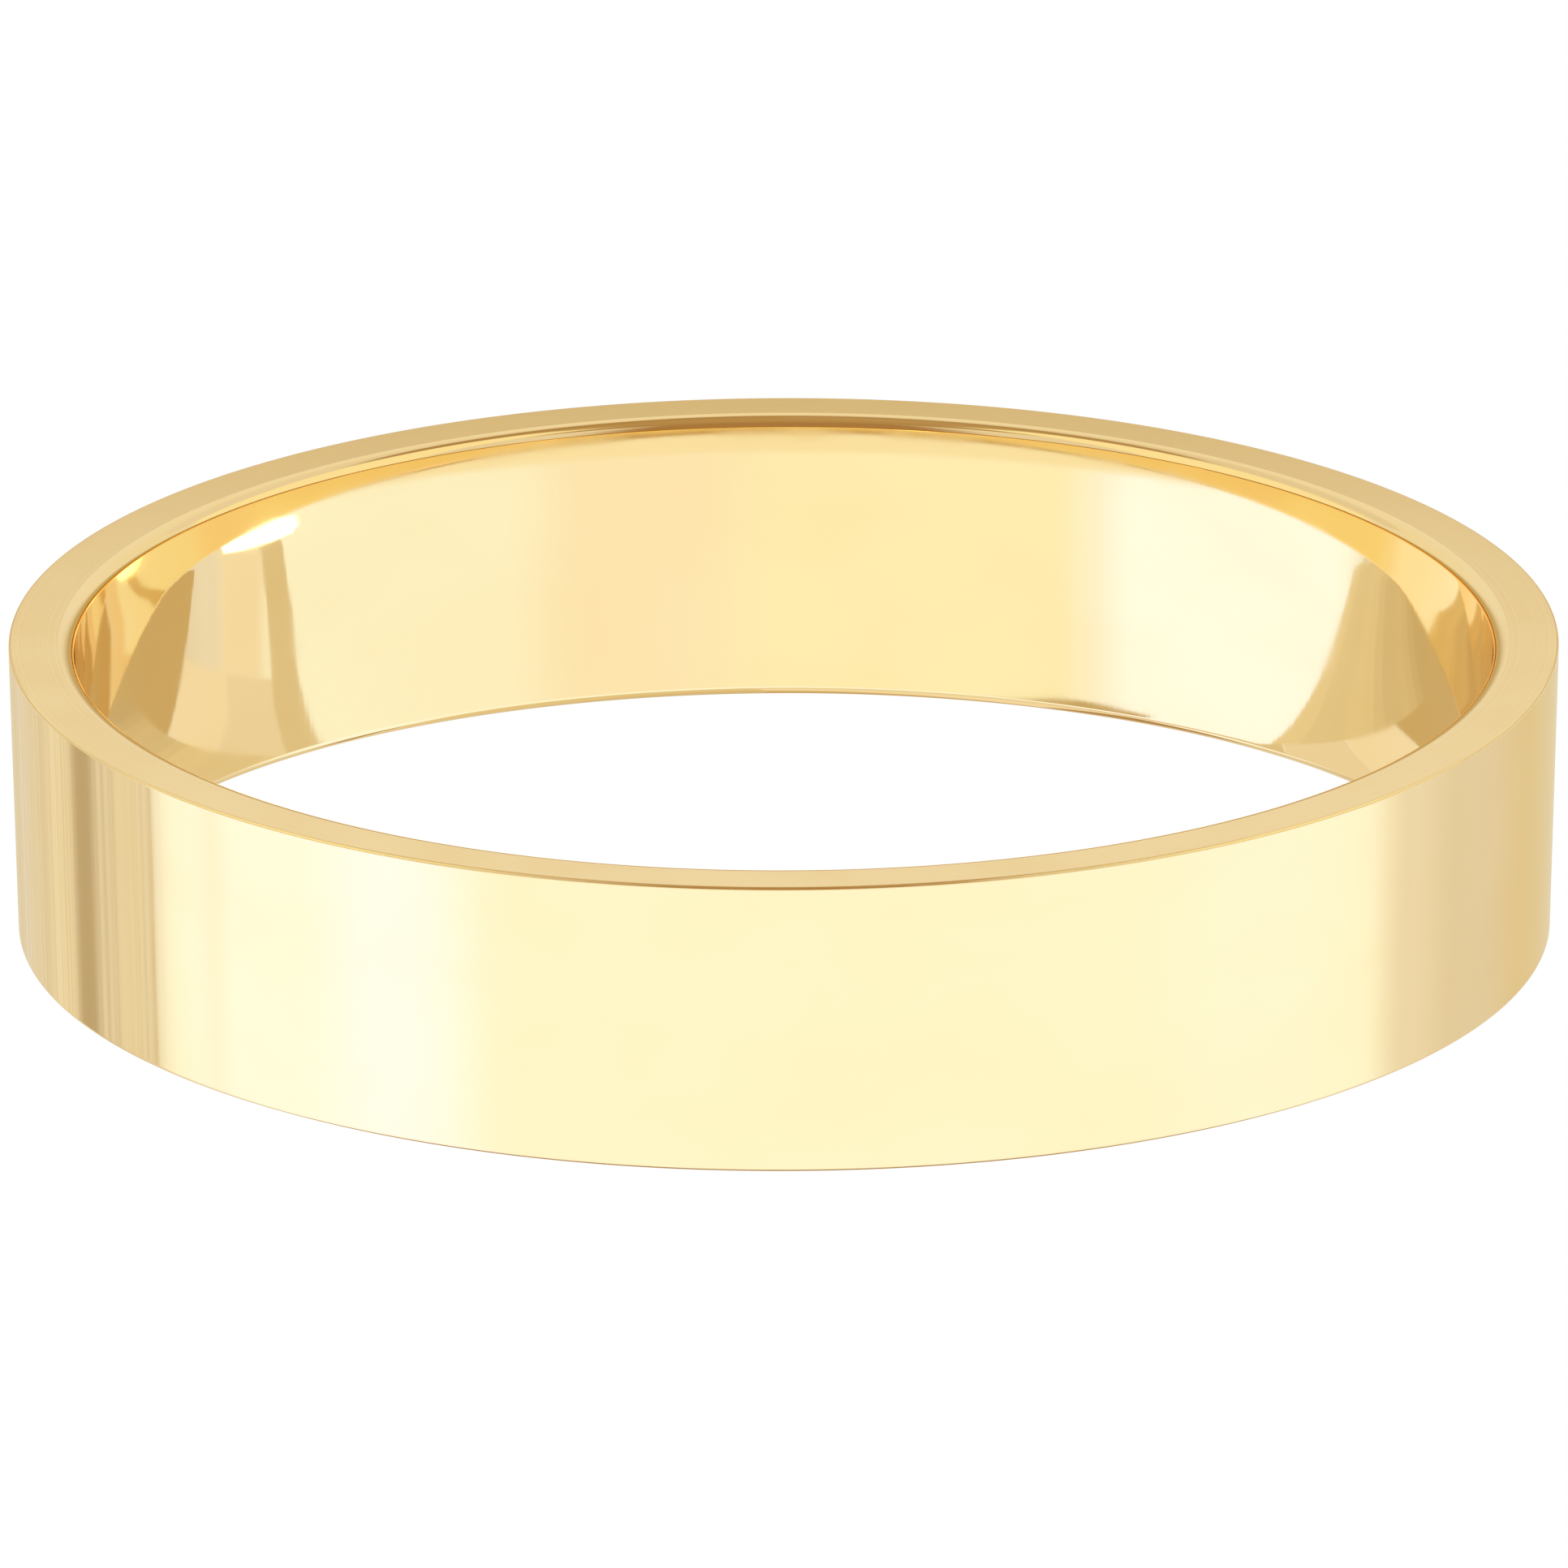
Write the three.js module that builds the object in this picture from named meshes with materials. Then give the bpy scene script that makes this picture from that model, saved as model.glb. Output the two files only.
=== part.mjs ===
// Plain flat wedding band: one closed ring of yellow gold with a nearly rectangular section and eased edges.
// Millimetres, +Z up. The band lies flat: its axis is +Z, and the origin is the middle of its lower rim.

import * as THREE from "three";

// Driving dimensions
const BORE_DIAMETER = 18.95; // a US size 9 finger hole, the same from rim to rim
const WALL = 0.9; // from the finger hole to the outside, at the upper rim
const WIDTH = 4.0; // along the finger
const OUTSIDE_DRAFT = 0.11; // how much smaller the outside radius is at the lower rim
const INNER_EASE = { across: 0.24, along: 0.15 }; // rounding that makes the hole comfortable to wear
const OUTER_EASE = { across: 0.04, along: 0.04 }; // fine break on the crisp outside edges
const INNER_STEPS = 5; // facets on each inner rounding
const OUTER_STEPS = 2; // facets on each outer break
const STEPS_AROUND = 144; // a multiple of 4, so that the band reaches its full diameter along X and Y

const BORE_RADIUS = BORE_DIAMETER / 2;
const UPPER_RADIUS = BORE_RADIUS + WALL;
const LOWER_RADIUS = UPPER_RADIUS - OUTSIDE_DRAFT;
const QUARTER_TURN = Math.PI / 2;

// A quarter of an ellipse around a centre in the (radius, height) plane, turning counter-clockwise.
function roundedEdge(centreRadius, centreHeight, ease, startAngle, steps) {
  return Array.from({ length: steps + 1 }, (_, step) => {
    const angle = startAngle + (step / steps) * QUARTER_TURN;
    return new THREE.Vector2(
      centreRadius + ease.across * Math.cos(angle),
      centreHeight + ease.along * Math.sin(angle),
    );
  });
}

// The break on an outside edge, whose widest point is on the slightly tapered outside.
function outsideEdge(radius, centreHeight, startAngle) {
  return roundedEdge(radius - OUTER_EASE.across, centreHeight, OUTER_EASE, startAngle, OUTER_STEPS);
}

// The rounding between the finger hole and a rim.
function boreEdge(centreHeight, startAngle) {
  return roundedEdge(BORE_RADIUS + INNER_EASE.across, centreHeight, INNER_EASE, startAngle, INNER_STEPS);
}

// The section, counter-clockwise from the lower outer edge and closed on its first point.
function bandSection() {
  const points = [
    ...outsideEdge(LOWER_RADIUS, OUTER_EASE.along, -QUARTER_TURN),
    ...outsideEdge(UPPER_RADIUS, WIDTH - OUTER_EASE.along, 0),
    ...boreEdge(WIDTH - INNER_EASE.along, QUARTER_TURN),
    ...boreEdge(INNER_EASE.along, Math.PI),
  ];
  return [...points, points[0].clone()];
}

// The section swept once around the finger's axis. A lathe turns about Y, so it is then stood on Z.
function bandGeometry() {
  const geometry = new THREE.LatheGeometry(bandSection(), STEPS_AROUND);
  geometry.rotateX(QUARTER_TURN);
  return geometry;
}

// Polished yellow gold.
function yellowGold() {
  return new THREE.MeshStandardMaterial({
    color: new THREE.Color(0.95, 0.75, 0.37),
    roughness: 0.08,
    metalness: 1,
  });
}

const band = new THREE.Mesh(bandGeometry(), yellowGold());
band.name = "band";

const weddingBand = new THREE.Group();
weddingBand.add(band);

export default weddingBand;
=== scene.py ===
# A plain flat wedding band in polished yellow gold, lying on a white studio sweep. Blender 4.5, in metres.

import math

import bpy
import numpy as np
from mathutils import Matrix, Vector


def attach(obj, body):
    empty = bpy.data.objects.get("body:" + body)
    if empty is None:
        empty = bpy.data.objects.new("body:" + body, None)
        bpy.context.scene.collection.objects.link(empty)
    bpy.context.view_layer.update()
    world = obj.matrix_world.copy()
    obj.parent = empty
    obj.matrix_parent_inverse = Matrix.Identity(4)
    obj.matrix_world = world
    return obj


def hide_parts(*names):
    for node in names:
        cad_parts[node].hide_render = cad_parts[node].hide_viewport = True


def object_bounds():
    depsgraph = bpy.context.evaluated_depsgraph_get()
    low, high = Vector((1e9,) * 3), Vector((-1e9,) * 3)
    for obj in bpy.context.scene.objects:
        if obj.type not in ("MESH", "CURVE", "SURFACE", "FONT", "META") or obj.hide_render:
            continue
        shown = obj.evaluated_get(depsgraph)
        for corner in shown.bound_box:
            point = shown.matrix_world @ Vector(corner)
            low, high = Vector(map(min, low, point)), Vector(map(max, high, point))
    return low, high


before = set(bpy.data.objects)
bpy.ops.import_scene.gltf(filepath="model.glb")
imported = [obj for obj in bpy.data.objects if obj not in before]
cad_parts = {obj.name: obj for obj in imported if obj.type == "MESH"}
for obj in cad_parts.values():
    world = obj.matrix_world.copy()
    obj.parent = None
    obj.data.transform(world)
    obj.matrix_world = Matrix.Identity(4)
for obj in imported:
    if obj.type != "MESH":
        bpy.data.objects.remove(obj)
cad_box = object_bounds()

MM = 0.001
MICRON = 0.000001

# Mesh
STEPS_AROUND = 1152
OUTSIDE_STEPS = 12
BORE_STEPS = 40
LAND_STEPS = 6
INNER_EASE_STEPS = 18
OUTER_EASE_STEPS = 8
GUARD = 8 * MICRON  # from a rounded edge to the first row beside it, which keeps the edge's shading narrow
BORE_ROLL_REACH = 0.65 * MM  # how far down the bore the polishing mop has softened it
BORE_ROLL_ANGLE = math.radians(3.6)  # the bore's lean where it meets the rounding at the rim

# Camera
ELEVATION = math.radians(18.61)
DISTANCE_IN_RADII = 60.4
FRAME_WIDTH_IN_RADII = 2.0248
SENSOR_WIDTH = 36.0
NEAREST_SEEN = 0.01
FARTHEST_SEEN = 20.0
CAMERA_ROLL = math.radians(0.13)
AIM_BELOW_IN_RADII = 0.0048  # the band's middle sits just above the middle of the picture

# Stage
WHITE = (1.0, 1.0, 1.0)
GLOSSY_BOUNCES = 10  # light runs round the ends of the bore in many small steps
FLOOR_SIZE = 6.0
FLOOR_GAP = 5 * MICRON  # keeps the floor from touching the lower rim


def band_sizes():
    """The section's sizes, measured on the CAD band."""
    points = np.array([vertex.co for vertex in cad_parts["band"].data.vertices])
    radius = np.hypot(points[:, 0], points[:, 1])
    height = points[:, 2]
    width = cad_box[1][2]
    on_upper_rim = height > width - MICRON
    on_bore = radius < radius.min() + MICRON
    on_lower_rim = height < MICRON
    return {
        "width": width,
        "bore": float(radius.min()),
        "upper_outside": cad_box[1][0],
        "lower_outside": float(radius[height < width / 2].max()),
        "land_inside": float(radius[on_upper_rim].min()),
        "upper_land_outside": float(radius[on_upper_rim].max()),
        "lower_land_outside": float(radius[on_lower_rim].max()),
        "inner_ease_along": float(height[on_bore].min()),
    }


# ---------------------------------------------------------------- the band's mesh


def rounded_edge(centre, ease, start_angle, steps):
    """A quarter of an ellipse around centre in the (radius, height) plane, counter-clockwise."""
    angles = start_angle + np.linspace(0, math.pi / 2, steps + 1)
    return [(centre[0] + ease[0] * math.cos(a), centre[1] + ease[1] * math.sin(a)) for a in angles]


def between(start, end, steps):
    """The points strictly between two ends of a straight stretch: even steps, and one beside each end."""
    beside = GUARD / math.dist(start, end)
    shares = [beside] + [step / steps for step in range(1, steps)] + [1 - beside]
    return [(start[0] + (end[0] - start[0]) * s, start[1] + (end[1] - start[1]) * s) for s in shares]


def bore_roll(height, sizes):
    """How much wider the bore is at this height than below, where polishing has softened its mouth.

    Its lean falls from BORE_ROLL_ANGLE at the rounding to nothing at BORE_ROLL_REACH, along a parabola.
    """
    from_ease = sizes["width"] - height - sizes["inner_ease_along"]
    share = min(max(from_ease / BORE_ROLL_REACH, 0.0), 1.0)
    return math.tan(BORE_ROLL_ANGLE) * BORE_ROLL_REACH * (2 / 3 - share + share**3 / 3)


def band_section(sizes):
    """The section's outline, counter-clockwise, and the name of the surface on each of its stretches."""
    width = sizes["width"]
    outer_ease = (sizes["upper_outside"] - sizes["upper_land_outside"],) * 2
    mouth = sizes["bore"] + bore_roll(width - sizes["inner_ease_along"], sizes)
    upper_ease = (sizes["land_inside"] - mouth, sizes["inner_ease_along"])
    lower_ease = (sizes["land_inside"] - sizes["bore"], sizes["inner_ease_along"])
    quarter = math.pi / 2
    lower_outer = rounded_edge(
        (sizes["lower_land_outside"], outer_ease[1]), outer_ease, -quarter, OUTER_EASE_STEPS
    )
    upper_outer = rounded_edge(
        (sizes["upper_land_outside"], width - outer_ease[1]), outer_ease, 0, OUTER_EASE_STEPS
    )
    upper_inner = rounded_edge(
        (sizes["land_inside"], width - upper_ease[1]), upper_ease, quarter, INNER_EASE_STEPS
    )
    lower_inner = rounded_edge(
        (sizes["land_inside"], lower_ease[1]), lower_ease, 2 * quarter, INNER_EASE_STEPS
    )
    bore = [
        (sizes["bore"] + bore_roll(height, sizes), height)
        for _, height in between(upper_inner[-1], lower_inner[0], BORE_STEPS)
    ]
    stretches = [
        ("worn_edge", lower_outer),
        ("outside", between(lower_outer[-1], upper_outer[0], OUTSIDE_STEPS)),
        ("worn_edge", upper_outer),
        ("rim", between(upper_outer[-1], upper_inner[0], LAND_STEPS)),
        ("edge", upper_inner),
        ("bore", bore),
        ("edge", lower_inner),
        ("rim", between(lower_inner[-1], lower_outer[0], LAND_STEPS)),
    ]
    outline, surfaces = [], []
    for surface, points in stretches:
        if not surface.endswith("edge"):
            surfaces[-1] = surface
        outline += points
        surfaces += [surface] * len(points)
    return outline, surfaces


def lathe(name, outline, surfaces, materials):
    """The closed outline swept once around Z, with each stretch in its own surface's material."""
    count = len(outline)
    profile = np.array(outline)
    turn = np.linspace(0, 2 * math.pi, STEPS_AROUND, endpoint=False)
    points = np.stack(
        [
            np.outer(np.cos(turn), profile[:, 0]),
            np.outer(np.sin(turn), profile[:, 0]),
            np.tile(profile[:, 1], (STEPS_AROUND, 1)),
        ],
        axis=-1,
    ).reshape(-1, 3)
    here = np.arange(STEPS_AROUND)[:, None] * count
    ahead = np.roll(here, -1, axis=0)
    low = np.arange(count)[None, :]
    high = np.roll(low, -1, axis=1)
    faces = np.stack([here + low, ahead + low, ahead + high, here + high], axis=-1).reshape(-1, 4)
    mesh = bpy.data.meshes.new(name)
    mesh.from_pydata(points.tolist(), [], faces.tolist())
    slots = list(materials)
    for material in materials.values():
        mesh.materials.append(material)
    mesh.polygons.foreach_set("material_index", [slots.index(s) for s in surfaces] * STEPS_AROUND)
    mesh.polygons.foreach_set("use_smooth", [True] * len(mesh.polygons))
    mesh.update()
    band = bpy.data.objects.new(name, mesh)
    bpy.context.scene.collection.objects.link(band)
    return band


# ---------------------------------------------------------------- node helpers


def add_node(tree, kind, inputs=None, **settings):
    """A new node. inputs are its sockets' values or links, by name or number."""
    node = tree.nodes.new(kind)
    for name, value in settings.items():
        setattr(node, name, value)
    for key, value in (inputs or {}).items():
        if isinstance(value, bpy.types.NodeSocket):
            tree.links.new(value, node.inputs[key])
        else:
            node.inputs[key].default_value = value
    return node


def maths(tree, operation, *values):
    """The result of a Math node."""
    return add_node(tree, "ShaderNodeMath", dict(enumerate(values)), operation=operation).outputs[0]


def ramped(tree, value, low, high, at_low=0.0, at_high=1.0):
    """at_low where value is low or less, at_high where it is high or more, and a smooth change between."""
    inputs = {"Value": value, "From Min": low, "From Max": high, "To Min": at_low, "To Max": at_high}
    return add_node(tree, "ShaderNodeMapRange", inputs, interpolation_type="SMOOTHSTEP").outputs["Result"]


def mixed(tree, share, first, second):
    """first and second, as colours, with share of the second.

    A Mix node has its colour sockets at inputs 6 and 7 and at output 2.
    """
    node = add_node(tree, "ShaderNodeMix", data_type="RGBA")
    sockets = {node.inputs[0]: share, node.inputs[6]: first, node.inputs[7]: second}
    for socket, value in sockets.items():
        if isinstance(value, bpy.types.NodeSocket):
            tree.links.new(value, socket)
        elif isinstance(value, tuple):
            socket.default_value = (*value, 1.0)
        else:
            socket.default_value = value
    return node.outputs[2]


# ---------------------------------------------------------------- gold


GOLD = (0.95, 0.745, 0.365)
GOLD_DEEP = (0.94, 0.725, 0.345)
WALL_HAZE = 0.05
EDGE_HAZE = 0.08
WORN_HAZE = 0.25
SATIN_ROUGHNESS = (0.16, 0.26)
# How fine the marks are along X, Y and Z, per metre, and how deep
TINT_PATCHES = (300, 300, 500)
HAZE_CLOUDS = (700, 700, 900)
POLISHING_STREAKS = (2600, 2600, 60)
STREAK_DEPTH = 0.5 * MICRON
WORN_PATCHES = (500, 500, 500)
TURNING_RINGS = 30000.0
RING_DEPTH = 0.6 * MICRON


def stretched_noise(tree, scales, detail=2.0, roughness=0.5):
    """Noise over the band, with its own scale along X, Y and Z, per metre."""
    place = add_node(tree, "ShaderNodeTexCoord").outputs["Object"]
    mapping = add_node(tree, "ShaderNodeMapping", {"Vector": place, "Scale": scales})
    inputs = {"Vector": mapping.outputs[0], "Scale": 1.0, "Detail": detail, "Roughness": roughness}
    return add_node(tree, "ShaderNodeTexNoise", inputs, normalize=True).outputs["Fac"]


def gold_material(name):
    """A gold Principled material, and its tree and shader to finish."""
    material = bpy.data.materials.new(name)
    material.use_nodes = True
    tree = material.node_tree
    shader = tree.nodes["Principled BSDF"]
    shader.inputs["Metallic"].default_value = 1.0
    return material, tree, shader


def roughen(tree, shader, height, depth):
    """Bumps of this depth on the surface."""
    bump = add_node(tree, "ShaderNodeBump", {"Height": height, "Strength": 1.0, "Distance": depth})
    tree.links.new(bump.outputs[0], shader.inputs["Normal"])


def polished_gold(name, haze):
    """Mirror-polished gold: faint streaks along the finger, a few cloudy patches and a soft haze."""
    material, tree, shader = gold_material(name)
    patches = stretched_noise(tree, TINT_PATCHES, detail=3)
    colour = mixed(tree, ramped(tree, patches, 0.35, 0.7), GOLD, GOLD_DEEP)
    tree.links.new(colour, shader.inputs["Base Color"])
    cloud = stretched_noise(tree, HAZE_CLOUDS, detail=4)
    tree.links.new(ramped(tree, cloud, 0.3, 0.8, haze * 0.6, haze * 1.6), shader.inputs["Roughness"])
    streaks = stretched_noise(tree, POLISHING_STREAKS, detail=3, roughness=0.6)
    roughen(tree, shader, streaks, STREAK_DEPTH)
    return material


def satin_gold(name):
    """Lathe-finished gold: fine rings left by the tool, softened by a light polish."""
    material, tree, shader = gold_material(name)
    place = add_node(tree, "ShaderNodeTexCoord").outputs["Object"]
    split = add_node(tree, "ShaderNodeSeparateXYZ", {"Vector": place})
    across = maths(tree, "MULTIPLY", split.outputs["X"], split.outputs["X"])
    square = maths(tree, "MULTIPLY_ADD", split.outputs["Y"], split.outputs["Y"], across)
    radius = maths(tree, "SQRT", square)
    turning = {"W": radius, "Scale": TURNING_RINGS, "Detail": 3.0}
    rings = add_node(tree, "ShaderNodeTexNoise", turning, noise_dimensions="1D").outputs["Fac"]
    patches = stretched_noise(tree, WORN_PATCHES, detail=4)
    worn = maths(tree, "MULTIPLY_ADD", rings, 0.5, maths(tree, "MULTIPLY", patches, 0.5))
    colour = mixed(tree, ramped(tree, worn, 0.35, 0.65), GOLD, GOLD_DEEP)
    tree.links.new(colour, shader.inputs["Base Color"])
    tree.links.new(ramped(tree, worn, 0.3, 0.7, *SATIN_ROUGHNESS), shader.inputs["Roughness"])
    roughen(tree, shader, rings, RING_DEPTH)
    return material


# ---------------------------------------------------------------- stage


# What surrounds the band, as layers one above the other. Each has a plain colour and panels painted over
# it in order: (azimuth, half width, soft edge, colour). Angles are in degrees, with azimuth 0 towards the
# camera and 90 to the right.
FLOOR = (
    (180, 42, 26, (0.79, 0.70, 0.50)),  # warm wall behind
    (-153, 12, 8, (0.84, 0.79, 0.69)),
    (-140, 4, 5, (0.92, 0.89, 0.82)),
    (110, 5, 14, (0.91, 0.92, 1.06)),
    (-116.5, 4, 5, (0.88, 0.86, 0.88)),
    (-3, 106.5, 12, (1.10, 1.25, 1.60)),  # white table in front
    (76, 14, 20, (1.10, 1.27, 1.72)),
    (-74, 27, 14, (1.20, 1.32, 1.92)),  # softbox on the left
    (-62, 9, 16, (1.20, 1.34, 2.25)),
    (-96, 2.5, 5, (1.10, 1.24, 1.68)),
    (-130.5, 3.4, 4, (0.54, 0.47, 0.38)),  # stand behind on the left
    (-110.6, 0.7, 1.2, (0.78, 0.72, 0.68)),  # and its cable
)
# The nearer half of the floor, which the bore mirrors
NEAR_FLOOR = (
    (22, 84, 4, (0.97, 0.93, 0.92)),
    (22, 73, 5, (1.05, 1.18, 1.45)),
    (-4, 44, 16, (1.05, 1.06, 1.19)),
    (-22, 30, 20, (1.06, 1.13, 1.18)),
    (-80, 27.5, 15, (1.14, 1.32, 2.00)),
)
SKIRTING = (1.02, 1.01, 0.97)
GRAIN = (0.60, 0.50, 0.36)  # of the boards behind on the left
GRAIN_STRENGTH = 0.4
GRAIN_PER_DEGREE = 0.9
BOARDS = (-112.0, -106.0)  # the azimuths between which they fade out, towards the camera
HIGH_SOFTBOXES = ((88, 28, 7, (1.05, 1.00, 0.80)), (-88, 28, 7, (1.05, 1.00, 0.80)))
# (lowest elevation, soft edge, plain colour or None to paint over the layer below, panels)
SURROUNDINGS = (
    (-90.0, 1.0, (0.45, 0.30, 0.18), ()),
    (-52.0, 4.0, (0.82, 0.80, 0.84), FLOOR),
    (-20.2, 1.6, None, NEAR_FLOOR),
    (-13.0, 1.0, SKIRTING, ()),
    (-1.0, 3.0, (0.24, 0.14, 0.07), ()),  # the dark line of the horizon
    (4.5, 4.0, (0.86, 0.82, 0.80), ((0, 30, 16, (0.42, 0.25, 0.12)),) + HIGH_SOFTBOXES),
    (56.0, 5.0, (0.46, 0.31, 0.16), HIGH_SOFTBOXES),
    (72.0, 5.0, (0.50, 0.34, 0.18), ()),  # the brown ceiling
)


def azimuth_share(tree, azimuth, centre, half_width, soft):
    """1 within half_width of an azimuth and 0 outside, with soft edges."""
    turned = maths(tree, "WRAP", maths(tree, "SUBTRACT", azimuth, float(centre)), 180.0, -180.0)
    away = maths(tree, "ABSOLUTE", turned)
    return ramped(tree, away, half_width - soft / 2, half_width + soft / 2, 1.0, 0.0)


def studio_world():
    """White to the camera. To everything else, a pale room with a bright table and darker corners."""
    world = bpy.data.worlds.new("studio")
    bpy.context.scene.world = world
    world.use_nodes = True
    tree = world.node_tree
    direction = add_node(tree, "ShaderNodeTexCoord").outputs["Generated"]
    split = add_node(tree, "ShaderNodeSeparateXYZ", {"Vector": direction})
    forward = maths(tree, "MULTIPLY", split.outputs["Y"], -1.0)
    degree = 180 / math.pi
    azimuth = maths(tree, "MULTIPLY", maths(tree, "ARCTAN2", split.outputs["X"], forward), degree)
    elevation = maths(tree, "MULTIPLY", maths(tree, "ARCSINE", split.outputs["Z"]), degree)
    colour = WHITE
    for low, soft, plain, panels in SURROUNDINGS:
        layer = plain or colour
        for centre, half_width, edge, radiance in panels:
            layer = mixed(tree, azimuth_share(tree, azimuth, centre, half_width, edge), layer, radiance)
        above = ramped(tree, elevation, low - soft / 2, low + soft / 2)
        colour = mixed(tree, above, colour, layer)
    grain_inputs = {"W": azimuth, "Scale": GRAIN_PER_DEGREE, "Detail": 3.0}
    grain = add_node(tree, "ShaderNodeTexNoise", grain_inputs, noise_dimensions="1D").outputs["Fac"]
    on_boards = maths(tree, "MULTIPLY", ramped(tree, grain, 0.4, 0.7), GRAIN_STRENGTH)
    on_boards = maths(tree, "MULTIPLY", on_boards, ramped(tree, azimuth, *BOARDS, 1.0, 0.0))
    colour = mixed(tree, on_boards, colour, GRAIN)
    seen = add_node(tree, "ShaderNodeLightPath").outputs["Is Camera Ray"]
    colour = mixed(tree, seen, colour, WHITE)
    background = tree.nodes["Background"]
    tree.links.new(colour, background.inputs["Color"])


def glowing_material(name, colour):
    """A material that gives off this colour, evenly and in every direction."""
    material = bpy.data.materials.new(name)
    material.use_nodes = True
    tree = material.node_tree
    tree.nodes.remove(tree.nodes["Principled BSDF"])
    glow = add_node(tree, "ShaderNodeEmission", {"Color": (*colour, 1.0), "Strength": 1.0})
    tree.links.new(glow.outputs[0], tree.nodes["Material Output"].inputs["Surface"])
    return material


def sheet(name, corners, material):
    """A flat sheet with its corners in metres. It casts no shadow."""
    mesh = bpy.data.meshes.new(name)
    mesh.from_pydata(corners, [], [tuple(range(len(corners)))])
    mesh.materials.append(material)
    flat_object = bpy.data.objects.new(name, mesh)
    bpy.context.scene.collection.objects.link(flat_object)
    flat_object.visible_diffuse = False
    flat_object.visible_shadow = False
    return flat_object


def only_in_reflections(stage_object):
    """Hides this from the camera, which then sees it in the gold and not directly."""
    stage_object.visible_camera = False


def white_floor():
    """A white sweep, lit so evenly that it has no shadows. The gold sees the studio and not this floor."""
    half = FLOOR_SIZE / 2
    corners = [(-half, -half), (half, -half), (half, half), (-half, half)]
    material = glowing_material("white_sweep", WHITE)
    floor = sheet("floor", [(x, y, -FLOOR_GAP) for x, y in corners], material)
    floor.visible_glossy = False


# Glowing sheets of painted shade below the band, standing in for shaded patches of the floor that the gold
# mirrors: a colour, and the corners in outer radii from the band's middle. They are seen only in the gold,
# beside the bright floor.
SHADE_SHEET_DEPTH = 0.2  # outer radii
SHADE_SHEETS = {
    "streak": (
        (0.78, 0.70, 0.58),
        ((-0.02, 0.598), (0.585, 0.619), (1.0, 0.672), (1.0, 0.79), (0.585, 0.712), (-0.02, 0.643)),
    ),
    "wedge": (
        (0.64, 0.50, 0.30),
        ((-0.02, 0.926), (0.75, 1.138), (0.75, 1.6), (-0.02, 1.6)),
    ),
    "near_shade": (
        (0.89, 0.85, 0.84),
        ((-0.02, 0.644), (0.3, 0.679), (0.3, 0.82), (0.12, 0.77), (-0.02, 0.76)),
    ),
    "far_shade": (
        (0.96, 0.92, 0.90),
        ((-0.02, 0.761), (0.12, 0.771), (0.3, 0.821), (0.3, 1.01), (-0.02, 0.92)),
    ),
    "shade_sliver": (
        (0.60, 0.48, 0.30),
        (
            (-0.07, 0.34), (-0.088, 0.358), (-0.116, 0.377), (-0.124, 0.398),
            (-0.12, 0.424), (-0.101, 0.482), (-0.07, 0.482),
        ),
    ),
}

# The fan of glowing sheets of painted shade on the left, in outer radii, from its nearest shade to its
# farthest
FAN_SHADES = 14
FAN_NEAR = (0.86, 0.79, 0.66)
FAN_FAR = (0.62, 0.49, 0.29)
FAN_RIGHT = -0.02
FAN_WIDTH = 0.8
FAN_STEPS = 8
FAN_DEPTH = 0.6
LAST_SHADE_DEPTH = 1.0
UNEVENNESS = 0.04  # how much a shade can be brighter or darker than its place in the fan

# The lamp, in outer radii: a card facing left, with its place along X and its outline along Y and Z
LAMP_COLOUR = (3.0, 3.0, 3.0)
LAMP_PLACE = 0.9
LAMP_OUTLINE = (
    (0.56, -0.12), (0.60, -0.16), (0.70, -0.185), (0.86, -0.197),
    (0.97, -0.19), (0.98, -0.06), (0.56, -0.06),
)

# The card behind the band
CARD_DISTANCE = 30 * MM
CARD_HALF_WIDTH = 60 * MM
CARD_FOOT = 4.2 * MM
CARD_TOP = 26 * MM
CARD_FADE = (8 * MM, 15 * MM)  # the heights between which it turns from its low colour to its high one
CARD_LOW = (0.56, 0.43, 0.21)
CARD_HIGH = (0.92, 0.88, 0.81)


def shade_sheet(name, corners, colour, sizes):
    """A glowing sheet of painted shade lying below the band, seen only in the gold."""
    radius = sizes["upper_outside"]
    points = [(x * radius, y * radius, -SHADE_SHEET_DEPTH * radius) for x, y in corners]
    only_in_reflections(sheet(name, points, glowing_material(name, colour)))


def fan_edge(x):
    """The front edge of the fan, a parabola."""
    return 0.62 - 0.36 * x + 0.27 * x * x


def lay_fan(sizes):
    """Glowing sheets of ever darker painted shade, each with the shape of the fan's front edge."""
    steps = [FAN_RIGHT - FAN_WIDTH * step / FAN_STEPS for step in range(FAN_STEPS + 1)]
    for shade in range(FAN_SHADES):
        is_last = shade == FAN_SHADES - 1
        near = FAN_DEPTH * shade / FAN_SHADES
        far = LAST_SHADE_DEPTH if is_last else FAN_DEPTH * (shade + 1) / FAN_SHADES
        share = shade / (FAN_SHADES - 1)
        uneven = 1 + UNEVENNESS * math.sin(5 * shade)
        colour = [(first + (last - first) * share) * uneven for first, last in zip(FAN_NEAR, FAN_FAR)]
        front = [(x, fan_edge(x) + near) for x in steps]
        back = [(x, fan_edge(x) + far) for x in reversed(steps)]
        shade_sheet(f"fan_{shade + 1}", front + back, colour, sizes)


def lay_painted_shade(sizes):
    """The fan of painted shade on the left and the other sheets of painted shade beside it."""
    lay_fan(sizes)
    for name, (colour, corners) in SHADE_SHEETS.items():
        shade_sheet(name, corners, colour, sizes)


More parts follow.
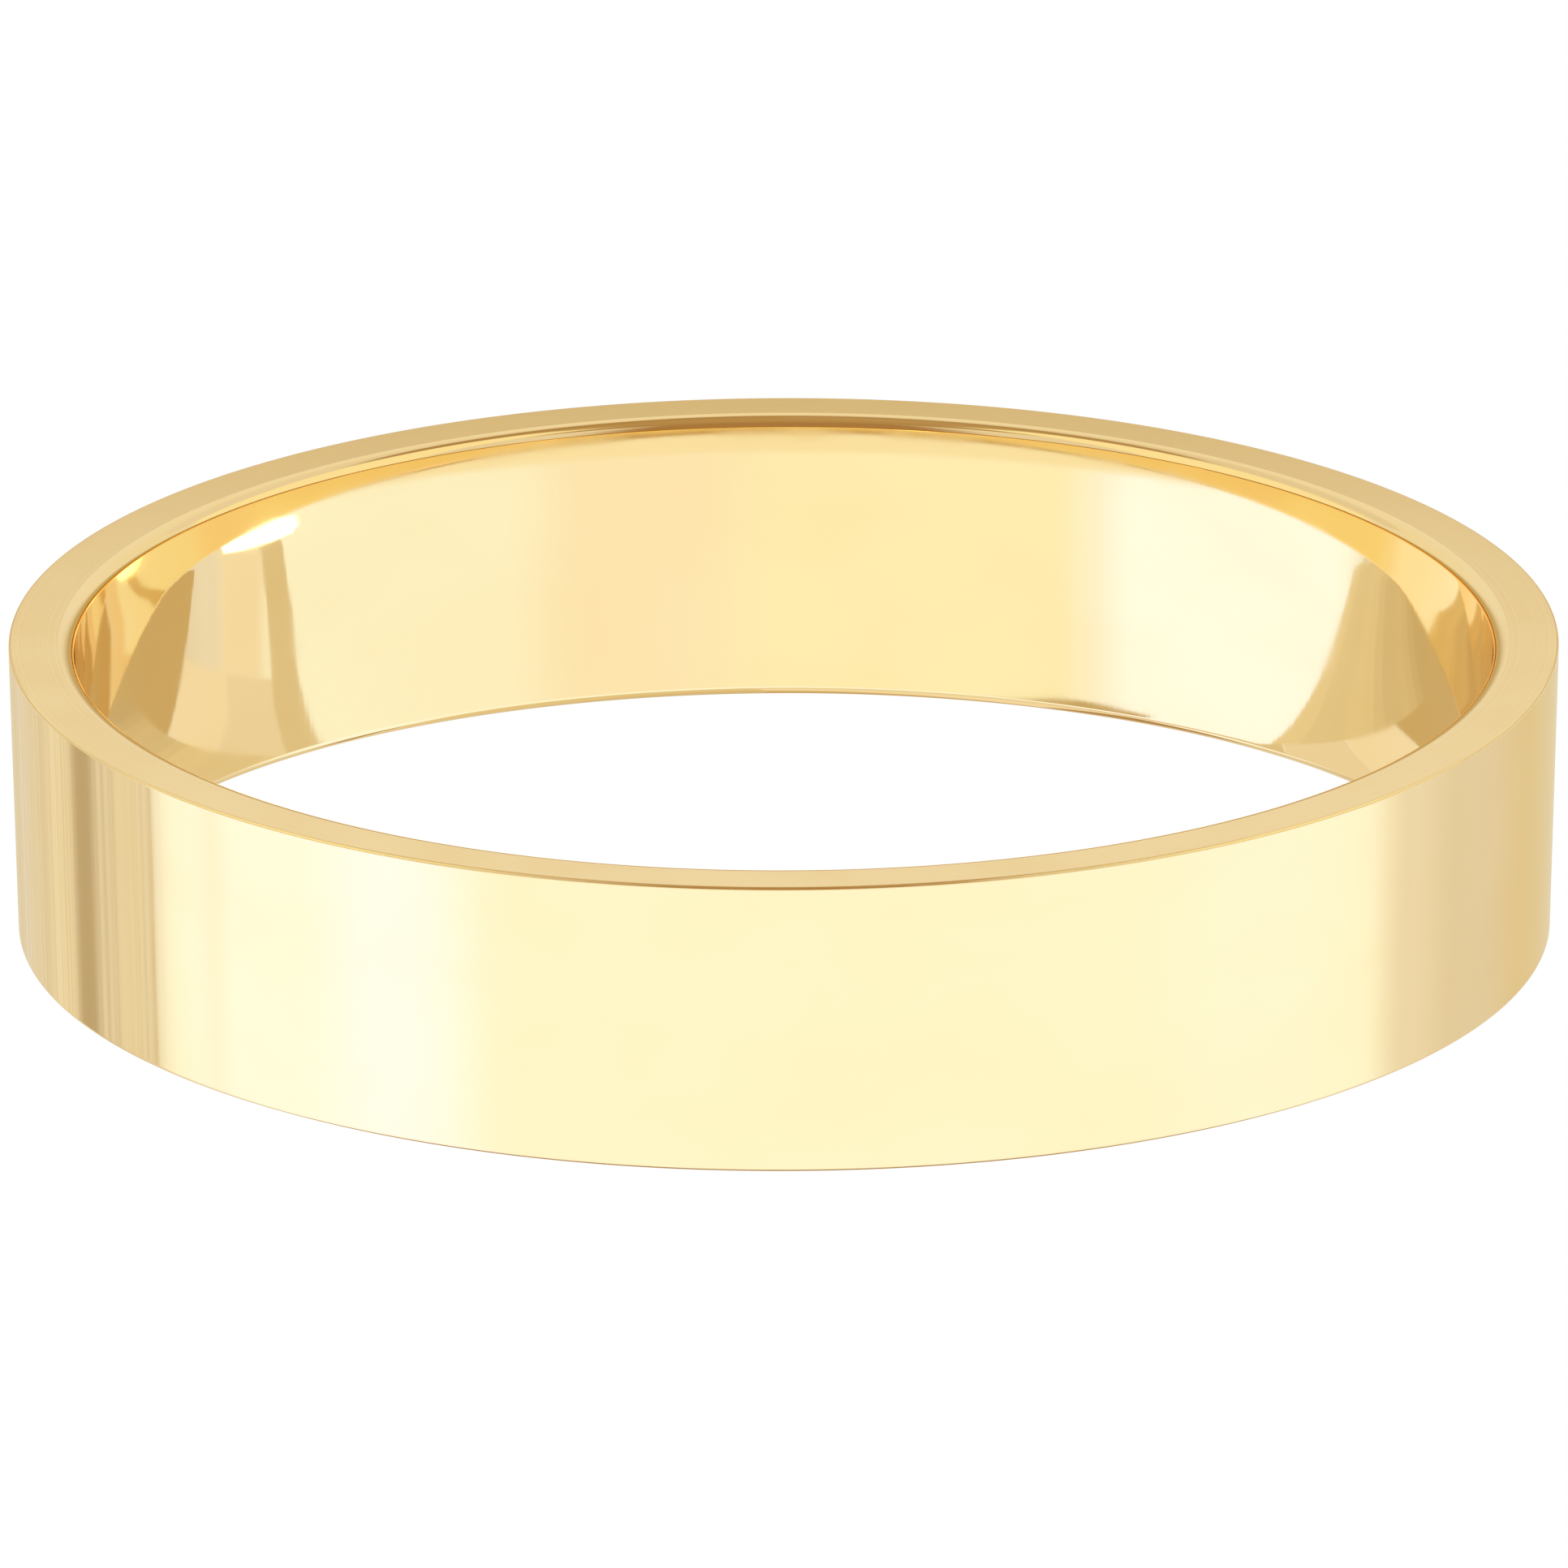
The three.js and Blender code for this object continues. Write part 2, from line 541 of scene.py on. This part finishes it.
def hang_lamp(sizes):
    """A small bright lamp low on the right, mirrored in the mouth of the bore on the left.

    Gold nearer to it than the far side of the bore doesn't see it, so the outside of the band stays clean.
    """
    material = glowing_material("lamp", LAMP_COLOUR)
    tree = material.node_tree
    distance = add_node(tree, "ShaderNodeLightPath").outputs["Ray Length"]
    is_far = maths(tree, "GREATER_THAN", distance, sizes["bore"])
    clear = add_node(tree, "ShaderNodeBsdfTransparent").outputs[0]
    glow = tree.nodes["Emission"].outputs[0]
    blend = add_node(tree, "ShaderNodeMixShader", {0: is_far, 1: clear, 2: glow})
    tree.links.new(blend.outputs[0], tree.nodes["Material Output"].inputs["Surface"])
    radius = sizes["upper_outside"]
    points = [(LAMP_PLACE * radius, y * radius, z * radius) for y, z in LAMP_OUTLINE]
    only_in_reflections(sheet("lamp", points, material))


def shaded_card():
    """A card behind the band, darker at the foot, seen only in the gold."""
    material = glowing_material("card_shades", CARD_HIGH)
    tree = material.node_tree
    place = add_node(tree, "ShaderNodeTexCoord").outputs["Object"]
    rise = add_node(tree, "ShaderNodeSeparateXYZ", {"Vector": place}).outputs["Z"]
    shade = mixed(tree, ramped(tree, rise, *CARD_FADE), CARD_LOW, CARD_HIGH)
    tree.links.new(shade, tree.nodes["Emission"].inputs["Color"])
    corners = [(-CARD_HALF_WIDTH, CARD_FOOT), (CARD_HALF_WIDTH, CARD_FOOT)]
    corners += [(CARD_HALF_WIDTH, CARD_TOP), (-CARD_HALF_WIDTH, CARD_TOP)]
    points = [(x, CARD_DISTANCE, z) for x, z in corners]
    only_in_reflections(sheet("card_behind", points, material))


# ---------------------------------------------------------------- camera


def photo_camera(sizes):
    """A long lens a little above the band, which nearly fills the picture's width."""
    radius = sizes["upper_outside"]
    middle = Vector((0, 0, sizes["width"] / 2))
    towards_camera = Vector((0, -math.cos(ELEVATION), math.sin(ELEVATION)))
    camera_up = Vector((0, math.sin(ELEVATION), math.cos(ELEVATION)))
    aim = middle - camera_up * AIM_BELOW_IN_RADII * radius
    data = bpy.data.cameras.new("camera")
    data.sensor_width = SENSOR_WIDTH
    data.lens = SENSOR_WIDTH * DISTANCE_IN_RADII / FRAME_WIDTH_IN_RADII
    data.clip_start = NEAREST_SEEN
    data.clip_end = FARTHEST_SEEN
    camera = bpy.data.objects.new("camera", data)
    bpy.context.scene.collection.objects.link(camera)
    facing = towards_camera.to_track_quat("Z", "Y").to_matrix().to_4x4()
    roll = Matrix.Rotation(-CAMERA_ROLL, 4, "Z")
    place = Matrix.Translation(aim + towards_camera * DISTANCE_IN_RADII * radius)
    camera.matrix_world = place @ facing @ roll
    bpy.context.scene.camera = camera


# ---------------------------------------------------------------- the scene


sizes = band_sizes()
photo_camera(sizes)
outline, surfaces = band_section(sizes)
gold_band = lathe(
    "gold_band",
    outline,
    surfaces,
    {
        "outside": polished_gold("polished_outside", WALL_HAZE),
        "bore": polished_gold("polished_bore", WALL_HAZE),
        "rim": satin_gold("satin_rim"),
        "edge": polished_gold("polished_edge", EDGE_HAZE),
        "worn_edge": polished_gold("worn_edge", WORN_HAZE),
    },
)
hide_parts("band")
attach(gold_band, "root")
white_floor()
lay_painted_shade(sizes)
hang_lamp(sizes)
shaded_card()
studio_world()
bpy.context.scene.view_settings.view_transform = "Standard"
bpy.context.scene.cycles.glossy_bounces = GLOSSY_BOUNCES
